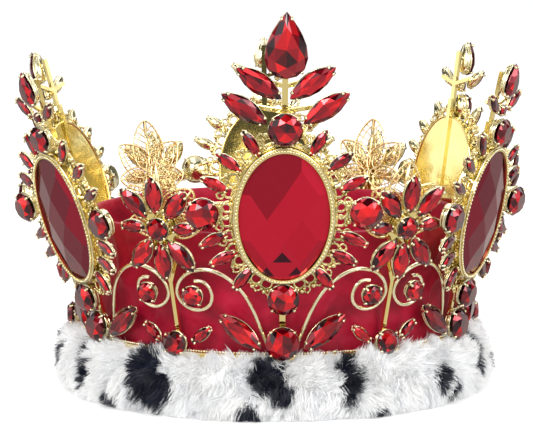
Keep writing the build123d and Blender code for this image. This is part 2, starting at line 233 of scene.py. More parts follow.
def finish_piece(mesh, name, material, smooth, replaces):
    mesh.polygons.foreach_set("use_smooth", [smooth] * len(mesh.polygons))
    mesh.materials.append(material)
    made = bpy.data.objects.new(name, mesh)
    scene.collection.objects.link(made)
    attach(made, "root")
    if replaces:
        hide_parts(*replaces)
    return made


def ring_faces(around, count):
    """Quads that join closed profiles standing side by side round the axis."""
    faces = []
    for a in range(around):
        here, there = a * count, ((a + 1) % around) * count
        for k in range(count):
            after = (k + 1) % count
            faces.append((here + k, there + k, there + after, here + after))
    return faces


def ball(radius, rings=5, sides=8):
    """Small solder ball."""
    points, faces = [(0, 0, radius)], []
    for r in range(1, rings):
        polar = math.pi * r / rings
        across, z = radius * math.sin(polar), radius * math.cos(polar)
        for turn in turns_of(sides):
            points.append((across * math.cos(turn), across * math.sin(turn), z))
    points.append((0, 0, -radius))
    for s in range(sides):
        after = (s + 1) % sides
        faces.append((0, 1 + s, 1 + after))
        for r in range(rings - 2):
            low, high = 1 + r * sides, 1 + (r + 1) * sides
            faces.append((low + s, high + s, high + after, low + after))
        last = 1 + (rings - 2) * sides
        faces.append((last + s, len(points) - 1, last + after))
    return points, faces, None


def wire(route, radius, closed=False, sides=6):
    """Round wire along a list of points."""
    count = len(route)
    points, faces = [], []
    route = [Vector(p) for p in route]
    for k, middle in enumerate(route):
        before = route[(k - 1) % count] if closed or k > 0 else route[k]
        after = route[(k + 1) % count] if closed or k < count - 1 else route[k]
        ahead = (after - before).normalized()
        side = ahead.cross(Vector((0, 0, 1)))
        side = side.normalized() if side.length > 1e-4 else Vector((1, 0, 0))
        top = side.cross(ahead)
        for turn in turns_of(sides):
            points.append(tuple(middle + (side * math.cos(turn) + top * math.sin(turn)) * radius))
    for k in range(count if closed else count - 1):
        here, there = k * sides, ((k + 1) % count) * sides
        for s in range(sides):
            after = (s + 1) % sides
            faces.append((here + s, here + after, there + after, there + s))
    if not closed:
        faces.append(tuple(reversed(range(sides))))
        faces.append(tuple(range((count - 1) * sides, count * sides)))
    return points, faces, None


def ellipse_route(half_x, half_y, count, z=0.0):
    turns = [math.radians(360.0 * k / count) for k in range(count)]
    return [(half_x * math.cos(turn), half_y * math.sin(turn), z) for turn in turns]


# --- Stones ---

def outline_point(kind, size, turn):
    """Point on the girdle of a stone; turn runs 0 to 1 from the +x end."""
    length, width = size
    angle = 2 * math.pi * turn
    x = length / 2 * math.cos(angle)
    if kind == "marquise":
        arc = (length ** 2 + width ** 2) / (4 * width)
        half = math.sqrt(arc ** 2 - x ** 2) - (arc - width / 2)
        return x, half if math.sin(angle) >= 0 else -half
    if kind == "pear":
        return x, width / 2 * math.sin(angle) * abs(math.sin(angle / 2)) / 0.77
    return x, width / 2 * math.sin(angle)


def girdle_height(size):
    return CUP_FLOOR + min(0.3 * size[1], 4.0)


def cut_stone(kind, size, luck):
    """Brilliant-cut stone: girdle, crown facets and a table cut into triangles; each facet carries
    a painted brightness for the reflections seen in the stone, and the table is painted lighter on
    one side, as if lit from there.
    """
    girdle = girdle_height(size)
    rise = 0.19 * size[1]
    half = 8
    full = 2 * half
    points, faces, reflection_tones = [], [], []

    def ring(scale, z, count, offset):
        first = len(points)
        for k in range(count):
            x, y = outline_point(kind, size, (k + offset) / count)
            points.append((scale * x, scale * y, z))
        return first

    def facet(corners, reflection_tone):
        faces.append(corners)
        reflection_tones.append(min(1.0, max(0.0, reflection_tone)))

    foot = ring(0.45, CUP_FLOOR, full, 0)
    low = ring(1.0, girdle, full, 0)
    top = ring(1.0, girdle + 0.15, full, 0)
    waist = ring(0.83, girdle + 0.15 + rise * 0.52, half, 0.5)
    table = ring(0.6, girdle + 0.15 + rise, half, 0)
    facet(tuple(reversed(range(foot, foot + full))), 0.2)
    # Painted reflection: every facet below gets a painted brightness for reflected light and dark,
    # shifted per stone by mood.
    mood = luck.uniform(-0.12, 0.12)
    light_side = luck.uniform(0, 2 * math.pi)
    for k in range(full):
        after = (k + 1) % full
        facet((foot + k, foot + after, low + after, low + k), 0.15)
        facet((low + k, low + after, top + after, top + k), 0.25)
    for k in range(half):
        before, after = (k - 1) % half, (k + 1) % half
        a, b, c = top + 2 * k, top + 2 * k + 1, top + (2 * k + 2) % full
        facet((a, b, waist + k), mood + luck.choice((0.08, 0.25, 0.5)))
        facet((b, c, waist + k), mood + luck.choice((0.05, 0.2, 0.45)))
        kite = mood + luck.choice((0.05, 0.3, 0.55, 0.85))
        facet((top + 2 * k, waist + k, table + k, waist + before), kite)
        facet((table + k, waist + k, table + after), mood + luck.choice((0.1, 0.4, 0.7, 0.95)))
    middle_x = luck.uniform(-0.05, 0.08) * size[0]
    points.append((middle_x, luck.uniform(-0.06, 0.06) * size[1], girdle + 0.17 + rise))
    middle = len(points) - 1
    # The table triangles are painted brighter towards light_side and darker away from it: painted
    # light.
    for k in range(half):
        glow = 0.5 + 0.32 * math.cos(2 * math.pi * k / half - light_side)
        if kind == "marquise":
            glow = 0.5 + 0.15 * math.cos(2 * math.pi * k / half - light_side)
        reflection_tone = mood + glow + luck.uniform(-0.14, 0.14)
        facet((table + k, table + (k + 1) % half, middle), reflection_tone)
    return points, faces, reflection_tones


def inside(x, y, corners):
    """Whether a place lies within a triangle."""
    sides = []
    for (ax, ay), (bx, by) in zip(corners, corners[1:] + corners[:1]):
        sides.append((bx - ax) * (y - ay) - (by - ay) * (x - ax) > 0)
    return all(sides) or not any(sides)


def split_round(form, corners):
    """Score a triangle into the top facets that it lies on."""
    middle_x = sum(x for x, y in corners) / 3 * OVAL_HALF_WIDTH
    middle_y = sum(y for x, y in corners) / 3 * OVAL_HALF_LENGTH
    for (ax, ay), (bx, by) in zip(corners, corners[1:] + corners[:1]):
        start = Vector((ax * OVAL_HALF_WIDTH, ay * OVAL_HALF_LENGTH, 0))
        end = Vector((bx * OVAL_HALF_WIDTH, by * OVAL_HALF_LENGTH, 0))
        normal = (end - start).cross(Vector((0, 0, 1)))
        near = []
        for face in form.faces:
            xs, ys = [v.co.x for v in face.verts], [v.co.y for v in face.verts]
            over_x = min(xs) - 4 < middle_x < max(xs) + 4
            over_y = min(ys) - 3 < middle_y < max(ys) + 3
            if face.normal.z > 0.5 and over_x and over_y:
                near.append(face)
        geom = set(near)
        for face in near:
            geom.update(face.edges)
            geom.update(face.verts)
        bmesh.ops.bisect_plane(form, geom=list(geom), plane_co=start, plane_no=normal)


def oval_stone(luck):
    """Domed oval, cut all over with a chequer of lozenge facets."""
    form = bmesh.new()
    count = 96
    low, high = [], []
    for turn in turns_of(count):
        x, y = OVAL_HALF_WIDTH * math.cos(turn), OVAL_HALF_LENGTH * math.sin(turn)
        low.append(form.verts.new((x, y, OVAL_GIRDLE - 0.4)))
        high.append(form.verts.new((x, y, OVAL_GIRDLE + OVAL_DOME)))
    foot = [form.verts.new((v.co.x * 0.6, v.co.y * 0.6, -0.9)) for v in low]
    form.faces.new(list(reversed(foot)))
    form.faces.new(high)
    for k in range(count):
        after = (k + 1) % count
        form.faces.new((foot[k], foot[after], low[after], low[k]))
        form.faces.new((low[k], low[after], high[after], high[k]))
    lines = [-1.3, -0.78, -0.27, 0.27, 0.78, 1.3]
    root = math.sqrt(0.5)
    for u0, u1 in zip(lines, lines[1:]):
        for v0, v1 in zip(lines, lines[1:]):
            u, v = (u0 + u1) / 2, (v0 + v1) / 2
            if math.hypot(u, v) > 1.05:
                continue
            level = 1 - (u0 * u0 + u1 * u1 + v0 * v0 + v1 * v1) / 2
            drop_x, drop_y = root * (-(u0 + u1) - (v0 + v1)), root * ((u0 + u1) - (v0 + v1))
            x, y = root * (u + v), root * (v - u)
            normal = (
                -OVAL_DOME * drop_x / OVAL_HALF_WIDTH, -OVAL_DOME * drop_y / OVAL_HALF_LENGTH, 1,
            )
            point = (
                x * OVAL_HALF_WIDTH, y * OVAL_HALF_LENGTH,
                OVAL_GIRDLE + OVAL_DOME * max(level, -0.5),
            )
            everything = form.verts[:] + form.edges[:] + form.faces[:]
            cut = bmesh.ops.bisect_plane(
                form, geom=everything, plane_co=point, plane_no=normal, clear_outer=True,
            )
            rim = [e for e in cut["geom_cut"] if isinstance(e, bmesh.types.BMEdge)]
            rim = [e for e in rim if e.is_boundary]
            if rim:
                bmesh.ops.contextual_create(form, geom=rim)
    bmesh.ops.remove_doubles(form, verts=form.verts, dist=0.01)
    cell = form.faces.layers.int.new("cell")
    for number, face in enumerate(form.faces):
        face[cell] = number
    for corners in PAINTED_DARK_FACETS:
        split_round(form, corners)
    form.verts.index_update()
    points = [tuple(v.co) for v in form.verts]
    faces, reflection_tones, cells = [], [], {}
    for face in form.faces:
        middle = face.calc_center_median()
        across, along = middle.x / OVAL_HALF_WIDTH, middle.y / OVAL_HALF_LENGTH
        faces.append(tuple(v.index for v in face.verts))
        # Painted reflections: each cell gets a random mid brightness, a patch on the upper left is
        # painted darker, one on the upper right brighter, and the listed low facets and the sides
        # are painted near black.
        reflection_tone = cells.setdefault(face[cell], luck.choice((0.56, 0.6, 0.64)))
        if along > 0.05 and -0.75 < across < 0.15:
            reflection_tone = 0.34
        elif along > 0.55 and across > 0.15:
            reflection_tone = 0.8
        if face.normal.z < 0.5 or any(inside(across, along, corners) for corners in PAINTED_DARK_FACETS):
            reflection_tone = 0.05
        reflection_tones.append(reflection_tone)
    form.free()
    return points, faces, reflection_tones


# --- Shader nodes ---

def add_node(tree, kind, values=None):
    """New shader node with the given input values."""
    made = tree.nodes.new("ShaderNode" + kind)
    for label, value in (values or {}).items():
        made.inputs[label].default_value = value
    return made


def link(tree, *pairs):
    for source, target in pairs:
        tree.links.new(source, target)


def object_noise(tree, values):
    """Noise that stays fixed to the piece it lies on."""
    where, made = add_node(tree, "TexCoord"), add_node(tree, "TexNoise", values)
    link(tree, (where.outputs["Object"], made.inputs["Vector"]))
    return made


def colour_ramp(tree, value, stops):
    """Ramp through (position, colour) stops."""
    made = add_node(tree, "ValToRGB")
    elements = made.color_ramp.elements
    for k, (position, colour) in enumerate((stops[0], stops[-1])):
        elements[k].position = position
        elements[k].color = (*colour, 1)
    for position, colour in stops[1:-1]:
        elements.new(position).color = (*colour, 1)
    link(tree, (value, made.inputs["Fac"]))
    return made.outputs["Color"]


def blend_colours(tree, share, first, second):
    """Mix of two colours, each an output socket or a plain colour."""
    mix = add_node(tree, "Mix")
    mix.data_type = "RGBA"
    link(tree, (share, mix.inputs["Factor"]))
    for label, colour in (("A", first), ("B", second)):
        if isinstance(colour, tuple):
            mix.inputs[label].default_value = (*colour, 1)
        else:
            link(tree, (colour, mix.inputs[label]))
    return mix.outputs["Result"]


def blend_shaders(tree, share, first, second):
    mix = add_node(tree, "MixShader")
    link(tree, (share, mix.inputs["Fac"]), (first, mix.inputs[1]), (second, mix.inputs[2]))
    return mix.outputs[0]


def relief(tree, height, strength, distance, under=None):
    """Bump from a height, laid over another one if there is one."""
    made = add_node(tree, "Bump", {"Strength": strength, "Distance": distance})
    link(tree, (height, made.inputs["Height"]))
    if under:
        link(tree, (under, made.inputs["Normal"]))
    return made.outputs["Normal"]


# --- Shared surface effects ---

def new_group(name, inputs, outputs):
    """Node group with named sockets; returns the tree and its two end nodes."""
    tree = bpy.data.node_groups.new(name, "ShaderNodeTree")
    for label, value in inputs.items():
        kind = "NodeSocketColor" if isinstance(value, tuple) else "NodeSocketFloat"
        socket = tree.interface.new_socket(name=label, in_out="INPUT", socket_type=kind)
        socket.default_value = value
    for label in outputs:
        kind = "NodeSocketColor" if label == "Color" else "NodeSocketFloat"
        tree.interface.new_socket(name=label, in_out="OUTPUT", socket_type=kind)
    return tree, tree.nodes.new("NodeGroupInput"), tree.nodes.new("NodeGroupOutput")


def gold_wear_and_shade_group():
    """Random darker patches, partly tarnished plate and partly painted shade, and fine hammering of
    thin gold plate.
    """
    tree, given, result = new_group(
        "gold_wear_and_shade",
        {
            "Plate": (0.8, 0.7, 0.4, 1), "TarnishAndShade": (0.4, 0.3, 0.1, 1),
            "Amount": 0.4, "Grain": 900.0, "Smoothness": 0.12,
        },
        ["Color", "Roughness", "Height"],
    )
    patches = object_noise(tree, {"Scale": 140.0, "Detail": 4.0})
    grain = object_noise(tree, {"Detail": 3.0})
    # Darker patches placed by noise, not by hollows: partly tarnished plate, partly painted shade
    # standing in for dark reflections in the gold.
    tarnish_shade_patches = colour_ramp(tree, patches.outputs["Fac"], [(0.45, (0, 0, 0)), (0.72, (1, 1, 1))])
    share = add_node(tree, "Math")
    share.operation = "MULTIPLY"
    rough = add_node(tree, "Math", {1: 0.16})
    rough.operation = "MULTIPLY_ADD"
    colour = blend_colours(
        tree, share.outputs[0], given.outputs["Plate"], given.outputs["TarnishAndShade"],
    )
    link(
        tree,
        (given.outputs["Grain"], grain.inputs["Scale"]),
        (tarnish_shade_patches, share.inputs[0]),
        (given.outputs["Amount"], share.inputs[1]),
        (patches.outputs["Fac"], rough.inputs[0]),
        (given.outputs["Smoothness"], rough.inputs[2]),
        (colour, result.inputs["Color"]),
        (rough.outputs[0], result.inputs["Roughness"]),
        (grain.outputs["Fac"], result.inputs["Height"]),
    )
    return tree


def pile_shade_group():
    """Uneven light and dark of brushed pile."""
    tree, given, result = new_group(
        "pile_shade",
        {
            "Pile": (0.4, 0.01, 0.03, 1), "Shadow": (0.2, 0.0, 0.01, 1),
            "Scale": 60.0, "Contrast": 0.6,
        },
        ["Color", "Height", "Folds"],
    )
    brushed = object_noise(tree, {"Detail": 5.0, "Distortion": 0.8})
    fibres = object_noise(tree, {"Scale": 2600.0})
    spread = add_node(tree, "MapRange", {"From Min": 0.35, "From Max": 0.68})
    colour = blend_colours(
        tree, spread.outputs["Result"], given.outputs["Pile"], given.outputs["Shadow"],
    )
    link(
        tree,
        (given.outputs["Scale"], brushed.inputs["Scale"]),
        (brushed.outputs["Fac"], spread.inputs["Value"]),
        (given.outputs["Contrast"], spread.inputs["To Max"]),
        (colour, result.inputs["Color"]),
        (fibres.outputs["Fac"], result.inputs["Height"]),
        (brushed.outputs["Fac"], result.inputs["Folds"]),
    )
    return tree


gold_wear_and_shade = gold_wear_and_shade_group()
pile_shade = pile_shade_group()


def new_material(name, finish):
    """Material whose shader has the given plain values."""
    material = bpy.data.materials.new(name)
    material.use_nodes = True
    shader = material.node_tree.nodes["Principled BSDF"]
    for label, value in finish.items():
        shader.inputs[label].default_value = value
    return material, material.node_tree, shader


def shared_effect(tree, group, values):
    made = tree.nodes.new("ShaderNodeGroup")
    made.node_tree = group
    for label, value in values.items():
        made.inputs[label].default_value = value
    return made


def gold_plate(name, plate, tarnish_and_shade, amount, grain, smoothness, bump):
    material, tree, shader = new_material(name, {"Metallic": 1.0})
    wear_and_shade = shared_effect(tree, gold_wear_and_shade, {
        "Plate": (*plate, 1), "TarnishAndShade": (*tarnish_and_shade, 1), "Amount": amount, "Grain": grain,
        "Smoothness": smoothness,
    })
    link(
        tree,
        (wear_and_shade.outputs["Color"], shader.inputs["Base Color"]),
        (wear_and_shade.outputs["Roughness"], shader.inputs["Roughness"]),
        (relief(tree, wear_and_shade.outputs["Height"], bump, FINE_RELIEF), shader.inputs["Normal"]),
    )
    return material


def ruby(name, shades, metal, coat, turned, grazing_shade, gloss):
    """Foiled red stone under a clear polish: each facet's red is set by its painted reflection
    brightness, and the red is painted darker as the surface turns away from the view, painted shade
    for the unlit foil.
    """
    material, tree, shader = new_material(name, {
        "Metallic": metal, "Coat Weight": coat, "Coat Roughness": 0.02, "Coat IOR": 1.5,
        "Specular IOR Level": gloss,
    })
    # Each facet's painted reflection brightness becomes red through the shades.
    facet = add_node(tree, "Attribute")
    facet.attribute_name = "facet"
    colour = colour_ramp(tree, facet.outputs["Fac"], list(zip((0.08, 0.5, 0.95), shades)))
    # Painted shade: the red is mixed towards grazing_shade as the surface turns from the view,
    # standing in for foil that catches no light.
    glance = add_node(tree, "LayerWeight", {"Blend": 0.5})
    grazing_shade_share = add_node(tree, "MapRange", {
        "From Min": turned * 0.35, "From Max": turned, "To Max": 0.88,
    })
    haze = object_noise(tree, {"Scale": 300.0})
    polish = add_node(tree, "MapRange", {"To Min": 0.03, "To Max": 0.1})
    link(
        tree,
        (glance.outputs["Facing"], grazing_shade_share.inputs["Value"]),
        (blend_colours(tree, grazing_shade_share.outputs["Result"], colour, grazing_shade), shader.inputs["Base Color"]),
        (haze.outputs["Fac"], polish.inputs["Value"]),
        (polish.outputs["Result"], shader.inputs["Roughness"]),
    )
    return material


def soft_cloth(name, pile, shadow, scale, contrast, sheen, tint, bump, folds=0.0):
    material, tree, shader = new_material(name, {
        "Roughness": 0.5, "Sheen Weight": sheen, "Sheen Roughness": 0.35,
        "Sheen Tint": (*tint, 1), "Specular IOR Level": 0.25,
    })
    shade = shared_effect(tree, pile_shade, {
        "Pile": (*pile, 1), "Shadow": (*shadow, 1), "Scale": scale, "Contrast": contrast,
    })
    drape = relief(tree, shade.outputs["Folds"], folds, 0.006)
    surface = relief(tree, shade.outputs["Height"], bump, PILE_RELIEF, drape)
    link(
        tree,
        (shade.outputs["Color"], shader.inputs["Base Color"]),
        (surface, shader.inputs["Normal"]),
    )
    return material


def ermine(name):
    """White pile with cool shadows and blue-black tails, dyed hair by hair; it also glows faintly
    in its own colour, painted light that keeps it white.
    """
    # Emission Strength gives the fur a faint glow in its own colour: painted light.
    material, tree, shader = new_material(name, {
        "Roughness": 0.75, "Specular IOR Level": 0.1, "Sheen Weight": 0.06,
        "Emission Strength": 0.06,
    })
    dye = add_node(tree, "Attribute")
    dye.attribute_name = "dye"
    shade = shared_effect(tree, pile_shade, {
        "Pile": (0.98, 0.98, 0.97, 1), "Shadow": (0.84, 0.85, 0.88, 1), "Scale": 90.0,
        "Contrast": 0.6,
    })
    colour = blend_colours(tree, dye.outputs["Fac"], shade.outputs["Color"], TAIL_BLACK)
    surface = relief(tree, shade.outputs["Height"], 0.3, PILE_RELIEF)
    link(
        tree,
        (colour, shader.inputs["Base Color"]),
        (colour, shader.inputs["Emission Color"]),
        (surface, shader.inputs["Normal"]),
    )
    return material


PALE_GOLD = (0.97, 0.84, 0.46)
GOLD_SHADOW = (0.4, 0.34, 0.13)
TAIL_BLACK = (0.008, 0.011, 0.026)
FINE_RELIEF = 0.0004
PILE_RELIEF = 0.0003

polished_gold = gold_plate(
    "polished_gold_plate", (0.93, 0.77, 0.33), (0.8, 0.6, 0.2), 0.15, 500.0, 0.02, 0.02,
)
# Cast gold takes the darkest, widest patches: mostly painted shade that gives the lace its dark
# contrast, partly tarnished plate.
cast_gold = gold_plate(
    "cast_gold_plate", PALE_GOLD, (0.22, 0.18, 0.06), 0.75, 1500.0, 0.08, 0.4,
)
claw_gold = gold_plate(
    "claw_gold_plate", (0.97, 0.89, 0.6), GOLD_SHADOW, 0.35, 900.0, 0.08, 0.12,
)
wire_gold = gold_plate(
    "wire_gold_plate", (1.0, 0.93, 0.66), GOLD_SHADOW, 0.12, 900.0, 0.02, 0.04,
)
leaf_gold = gold_plate(
    "filigree_gold_plate", (0.97, 0.8, 0.45), (0.8, 0.42, 0.14), 0.55, 1500.0, 0.1, 0.2,
)
crystal_red = ruby(
    "crystal_red", [(0.02, 0.0, 0.004), (0.36, 0.0, 0.012), (0.95, 0.008, 0.012)],
    metal=0.6, coat=0.7, turned=0.6, grazing_shade=(0.05, 0.001, 0.008), gloss=0.5,
)
glass_red = ruby(
    "glass_red", [(0.03, 0.001, 0.008), (0.38, 0.002, 0.016), (0.55, 0.01, 0.035)],
    metal=0.4, coat=0.15, turned=0.42, grazing_shade=(0.09, 0.003, 0.014), gloss=0.25,
)
crimson_velvet = soft_cloth(
    "crimson_velvet", (0.48, 0.003, 0.034), (0.17, 0.0, 0.009), 45.0, 0.85,
    sheen=0.16, tint=(1, 0.25, 0.32), bump=0.3, folds=0.25,
)
ermine_pile = ermine("ermine_pile")
wadding = soft_cloth(
    "white_wadding", (0.8, 0.8, 0.78), (0.6, 0.6, 0.6), 120.0, 0.6,
    sheen=0.2, tint=(1, 1, 1), bump=0.6,
)
board = soft_cloth(
    "stiff_board", (0.6, 0.55, 0.46), (0.45, 0.4, 0.33), 200.0, 0.6,
    sheen=0.0, tint=(1, 1, 1), bump=0.2,
)


# --- Camera, floor and light ---

def stand_for(name, data, place):
    made = bpy.data.objects.new(name, data)
    made.location = place
    made.rotation_mode = "QUATERNION"
    scene.collection.objects.link(made)
    return made


def set_camera():
    camera = bpy.data.cameras.new("camera")
    camera.lens = 177.0
    camera.sensor_width = 36.0
    camera.clip_end = 20.0
    stand = stand_for("camera", camera, (-0.0524, -1.2229, 0.2425))
    stand.rotation_quaternion = Vector((0.0398, 0.9902, -0.134)).to_track_quat("-Z", "Y")
    scene.camera = stand


def set_floor():
    """White paper that stays dimmer than itself in the metal and the stones."""
    reach = 6.0
    corners = [(-reach, -reach, 0), (reach, -reach, 0), (reach, reach, 0), (-reach, reach, 0)]
    sweep = new_mesh("floor", corners, [(0, 1, 2, 3)])
    floor = stand_for("floor", sweep, (0, 0, 0))
    material, tree, shader = new_material("white_paper", {
        "Base Color": (0.93, 0.93, 0.93, 1), "Roughness": 0.9,
        "Emission Color": (1, 1, 1, 1), "Emission Strength": 0.25,
    })
    dim = add_node(tree, "Emission", {"Color": (0.7, 0.67, 0.62, 1)})
    path = add_node(tree, "LightPath")
    seen = blend_shaders(tree, path.outputs["Is Glossy Ray"], shader.outputs[0], dim.outputs[0])
    link(tree, (seen, tree.nodes["Material Output"].inputs["Surface"]))
    sweep.materials.append(material)


def set_world():
    """White room; what shines in the stones and metal is a set of light and dark cards."""
    world = bpy.data.worlds.new("studio")
    scene.world = world
    world.use_nodes = True
    tree = world.node_tree
    tree.nodes.clear()
    out = add_node(tree, "OutputWorld")
    where = add_node(tree, "TexCoord")
    cards = add_node(tree, "TexVoronoi", {"Scale": 2.6})
    level = add_node(tree, "SeparateColor")
    shine = add_node(tree, "Background", {"Strength": 1.5})
    plain = add_node(tree, "Background", {"Color": (1, 1, 1, 1), "Strength": 0.8})
    seen = add_node(tree, "Background", {"Color": (1, 1, 1, 1), "Strength": 1.0})
    path = add_node(tree, "LightPath")
    card = colour_ramp(tree, level.outputs["Red"], [(0.25, (0.05, 0.05, 0.04)), (0.45, (1, 1, 1))])
    lit = blend_shaders(tree, path.outputs["Is Glossy Ray"], plain.outputs[0], shine.outputs[0])
    room = blend_shaders(tree, path.outputs["Is Camera Ray"], lit, seen.outputs[0])
    link(
        tree,
        (where.outputs["Generated"], cards.inputs["Vector"]),
        (cards.outputs["Color"], level.inputs["Color"]),
        (card, shine.inputs["Color"]),
        (room, out.inputs["Surface"]),
    )


def set_lamp(name, place, size, watts):
    lamp = bpy.data.lights.new(name, "AREA")
    lamp.energy = watts
    lamp.size = size
    aim = Vector((0, 0, 0.08)) - Vector(place)
    stand_for(name, lamp, place).rotation_quaternion = aim.to_track_quat("-Z", "Y")


scene.view_settings.view_transform = "Standard"
set_camera()
set_floor()
set_world()
set_lamp("key_softbox", (-0.7, -1.1, 1.0), 0.5, 9.0)
set_lamp("fill_softbox", (0.9, -0.8, 0.7), 0.6, 5.0)
set_lamp("back_softbox", (0.2, 1.0, 1.1), 0.6, 5.0)


# --- Stones in their places ---

def claw_setting(kind, size):
    """Cup with two gallery wires, a solder post and four claws over the stone."""
    girdle = girdle_height(size)
    setting = Tray()
    count = 24
    top = girdle * CUP_DEPTH
    outline = [outline_point(kind, size, k / count) for k in range(count)]
    foot = [(0.8 * x, 0.8 * y, 0.35) for x, y in outline]
    shelf = [(0.95 * x, 0.95 * y, top) for x, y in outline]
    points = []
    for share, z in ((0.8, 0.0), (0.95, top), (0.88, top), (0.7, 0.35)):
        points += [(share * x, share * y, z) for x, y in outline]
    faces = [tuple(reversed(range(count))), tuple(range(3 * count, 4 * count))]
    for ring in range(3):
        for k in range(count):
            here, after = ring * count + k, ring * count + (k + 1) % count
            faces.append((here, after, count + after, count + here))
    setting.add((points, faces, None))
    setting.add(wire(foot, 0.4, closed=True, sides=5))
    setting.add(wire(shelf, 0.32, closed=True, sides=5))
    setting.add(wire([(0, 0, POST_FOOT), (0, 0.01, 0.2)], 1.1, sides=8))
    turns = (0.125, 0.375, 0.625, 0.875) if kind == "round" else (0.1, 0.4, 0.6, 0.9)
    tip = ball(0.68, 5, 8)
    for turn in turns:
        x, y = outline_point(kind, size, turn)
        reach = math.hypot(x, y)
        stand, lean_in = (reach + 0.35) / reach, (reach - 0.25) / reach
        claw = [
            (0.8 * x, 0.8 * y, 0.2), (0.97 * x, 0.97 * y, girdle * CUP_DEPTH),
            (x * stand, y * stand, girdle), (x * lean_in, y * lean_in, girdle + 0.7),
        ]
        setting.add(wire(claw, 0.52))
        setting.add(tip, shift(x * lean_in, y * lean_in, girdle + 0.7))
    return setting.part()


def lay_stone(trays, kind, size, place, luck):
    """Cut stone in one tray, its claw setting in the other."""
    stones, settings = trays
    stones.add(cut_stone(kind, size, luck), place)
    if (kind, size) not in SETTINGS:
        SETTINGS[kind, size] = claw_setting(kind, size)
    settings.add(SETTINGS[kind, size], place)


def finish_jewels(trays, name, node, tail=""):
    """Stones and settings as two pieces, each for its own node of the frame."""
    stones, settings = trays
    stones.piece(f"{name}_rubies{tail}", crystal_red, "ruby_crystal",
                 replaces=[f"{node}_stones{tail}"])
    settings.piece(f"{name}_claws{tail}", claw_gold, "claw_gold", smooth=True,
                   replaces=[f"{node}_settings{tail}"])


def lay_pairs(trays, size, spots, middle, luck):
    """Marquise stones and their mirror twins."""
    for x, y, direction in spots:
        lay_stone(trays, "marquise", size, middle @ shift(x, y) @ spin(direction), luck)
        lay_stone(trays, "marquise", size, middle @ shift(-x, y) @ spin(180 - direction), luck)


def medallion_stones(trays, place, oval_at, front, luck):
    middle = place @ shift(0, oval_at)
    lay_pairs(trays, RAY, RAYS, middle, luck)
    for side in (-1, 1):
        across, up = SIDE_ROUND_AT
        lay_stone(trays, "round", SIDE_ROUND, middle @ shift(side * across, up), luck)
    lay_stone(trays, "round", LOWER_ROUND, middle @ shift(0, LOWER_ROUND_AT), luck)
    top = BASE_ROUND if front else TOP_ROUND
    top_at = FRONT_TOP_ROUND_AT if front else SIDE_TOP_ROUND_AT
    lay_stone(trays, "round", top, middle @ shift(0, top_at), luck)


def plume_stones(trays, place, front, luck):
    pear, pear_at = (BIG_PEAR, FRONT_PEAR_AT) if front else (SMALL_PEAR, SIDE_PEAR_AT)
    lay_stone(trays, "pear", pear, place @ shift(0, pear_at) @ spin(90), luck)
    if not front:
        lay_stone(trays, "round", TINY_ROUND, place @ shift(0, SIDE_TINY_AT), luck)
    leaf, spots = (BIG_MARQUISE, FRONT_PLUME) if front else (RAY, SIDE_PLUME)
    lay_pairs(trays, leaf, spots, place, luck)


def flower_stones(trays, place, luck):
    middle = place @ shift(0, FLOWER_AT)
    lay_stone(trays, "round", FLOWER_ROUND, middle, luck)
    for angle in PETAL_ANGLES:
        lay_stone(trays, "marquise", PETAL, middle @ spin(angle) @ shift(PETAL_RING, 0), luck)
    for angle in (2, 178):
        seat = middle @ spin(angle) @ shift(SIDE_PETAL_RING, 0)
        lay_stone(trays, "marquise", SIDE_PETAL, seat, luck)


def base_stones(trays, luck):
    def lay(kind, size, azimuth, along, up, turn=0):
        lay_stone(trays, kind, size, round_the_hoop(azimuth, along, up, turn, 0), luck)

    for k in range(6):
        here, between = 60 * k, 60 * k + 30
        pairs = (BIG_MARQUISE, here, BASE_PAIR_AT), (SMALL_MARQUISE, between, FLOWER_PAIR_AT)
        lay("round", BASE_ROUND, here, 0, BASE_ROUND_UP)
        lay("round", FLOWER_BASE_ROUND, between, 0, FLOWER_BASE_UP)
        for side, turn in ((-1, 180 - BASE_TURN), (1, BASE_TURN)):
            for size, middle, (along, up) in pairs:
                lay("marquise", size, middle, side * along, up, turn)


def medallions():
    """Number, name, height of the oval and place of each medallion."""
    for number, (name, lean) in enumerate(LEANS.items()):
        oval_at = FRONT_OVAL_HEIGHT if name == "front" else SIDE_OVAL_HEIGHT
        yield number, name, oval_at, slope(60 * number, lean)


def set_all_stones():
    small_plumes = (Tray(), Tray())
    for number, name, oval_at, place in medallions():
        luck = random.Random(100 + number)
        front = name == "front"
        oval = Tray()
        oval.add(oval_stone(luck), place @ shift(0, oval_at))
        oval.piece(f"oval_ruby_{name}", glass_red, "ruby_glass",
                   replaces=[f"medallion_stone_{name}"])
        rays = (Tray(), Tray())
        medallion_stones(rays, place, oval_at, front, luck)
        finish_jewels(rays, "ray", "ray", f"_{name}")
        plume = (Tray(), Tray()) if front else small_plumes
        plume_stones(plume, place, front, luck)
        if front:
            finish_jewels(plume, "plume", "plume", "_front")
    finish_jewels(small_plumes, "plume", "plume", "_small")
    luck = random.Random(7)
    flowers, curls, foot = (Tray(), Tray()), (Tray(), Tray()), (Tray(), Tray())
    for k in range(6):
        azimuth = 60 * k + 30
        flower_stones(flowers, slope(azimuth, FLOWER_LEAN), luck)
        for side in (-1, 1):
            along, up, out = SCROLL_STONE_AT
            seat = round_the_hoop(azimuth, side * along, up, 0, FLOWER_LEAN, out)
            lay_stone(curls, "round", SCROLL_ROUND, seat, luck)
    base_stones(foot, luck)
    finish_jewels(flowers, "flower", "flower")
    finish_jewels(curls, "scroll", "scroll")
    finish_jewels(foot, "hoop", "base")


# --- Metalwork ---

